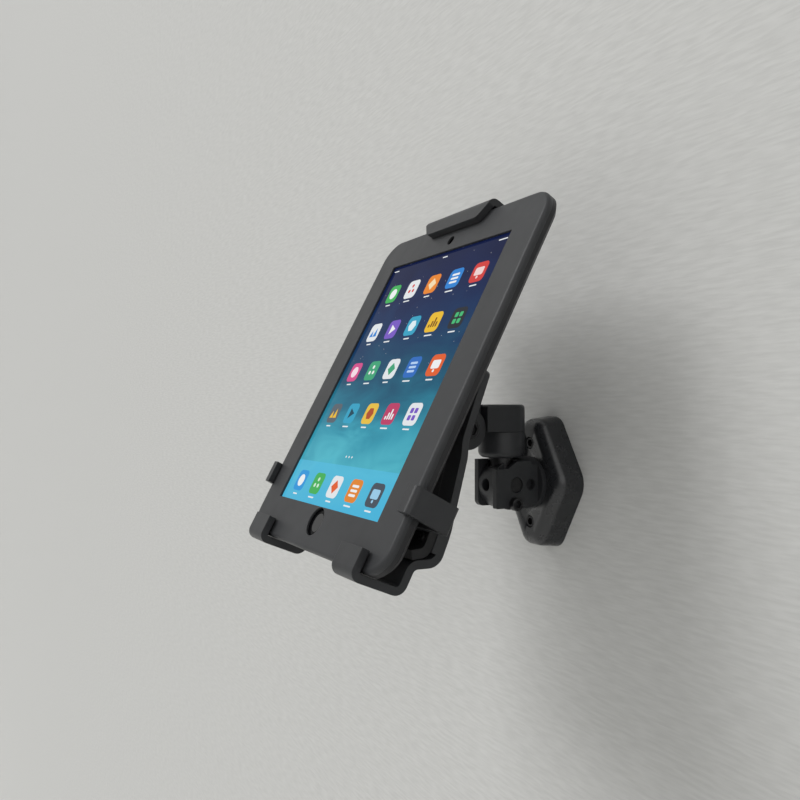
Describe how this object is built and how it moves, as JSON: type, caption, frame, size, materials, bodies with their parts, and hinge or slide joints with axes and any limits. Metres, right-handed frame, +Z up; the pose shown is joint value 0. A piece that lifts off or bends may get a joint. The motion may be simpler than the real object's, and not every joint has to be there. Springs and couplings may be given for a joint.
{
  "type": "tablet wall mount",
  "caption": "Wall mount for a tablet: hexagonal bracket, pan and tilt knuckle, and a bowed cradle whose hooks and clips hold the tablet in its case.",
  "frame": {"origin": "centre of the wall bracket's back face, which rests on the wall", "axes": "+Y into the wall, +Z up, +X to the right for someone facing the wall"},
  "size_m": [0.2112, 0.228, 0.2436],
  "materials": {
    "bracket": "cast, powder coated, fine satin",
    "knuckle": "machined, anodised black, satin",
    "steel": "black oxide, low sheen",
    "cradle": "bent plate, powder coated, satin",
    "rail": "moulded, matt",
    "disc": "moulded, low friction",
    "pad": "smooth, matt",
    "case": "moulded, soft satin",
    "tablet": "anodised, satin",
    "screen": "polished, over a lit display",
    "lens": "polished",
    "button": "slightly dished, polished"
  },
  "bodies": {
    "root": {"wall_bracket": "bracket", "wall_screws": "steel", "fork_screws": "steel", "wall_fork": "knuckle", "knuckle": "knuckle", "cross_pin": "steel", "lock_screw": "steel", "friction_washers": "steel", "pan_stud": "steel"},
    "arm": {"arm_barrel": "knuckle", "arm_block": "knuckle", "set_screw": "steel"},
    "head": {"tilt_bracket": "knuckle", "tilt_bolt": "steel", "tilt_nut": "steel", "friction_disc": "disc", "hub_bolt": "steel", "hub_nut": "steel"},
    "cradle": {"cradle_frame": "cradle", "clip_rail": "rail", "rail_screws": "steel", "clip_guides": "rail", "slider_screws": "steel", "hook_pads": "pad", "case_front": "case", "case_back": "case", "tablet_body": "tablet", "tablet_glass": "screen", "camera_lens": "lens"},
    "top_hook": {"top_hook": "cradle", "top_pad": "pad"},
    "clip_left": {"side_clip_left": "cradle"},
    "clip_right": {"side_clip_right": "cradle"},
    "button": {"home_button": "button"}
  },
  "joints": [
    {"name": "pan", "type": "hinge", "parent": "root", "child": "arm", "pos_m": [0, -0.0474, 0.03], "axis": [0, 0, 1], "range_deg": [-45, 45]},
    {"name": "tilt", "type": "hinge", "parent": "arm", "child": "head", "pos_m": [0, -0.087, 0.0408], "axis": [1, 0, 0], "range_deg": [-16, 38]},
    {"name": "rotate", "type": "hinge", "parent": "head", "child": "cradle", "pos_m": [0, -0.14612, 0.07296], "axis": [0, -0.8784, 0.4779], "range_deg": [-90, 90]},
    {"name": "top_hook_slide", "type": "slide", "parent": "cradle", "child": "top_hook", "axis": [0, 0.4779, 0.8784], "range_m": [0, 0.018]},
    {"name": "clip_left_slide", "type": "slide", "parent": "cradle", "child": "clip_left", "axis": [-1, 0, 0], "range_m": [0, 0.018]},
    {"name": "clip_right_slide", "type": "slide", "parent": "cradle", "child": "clip_right", "axis": [1, 0, 0], "range_m": [0, 0.018]},
    {"name": "button_press", "type": "slide", "parent": "cradle", "child": "button", "axis": [0, 0.8784, -0.4779], "range_m": [0, 0.0006], "stiffness_N_per_m": 1500}
  ]
}
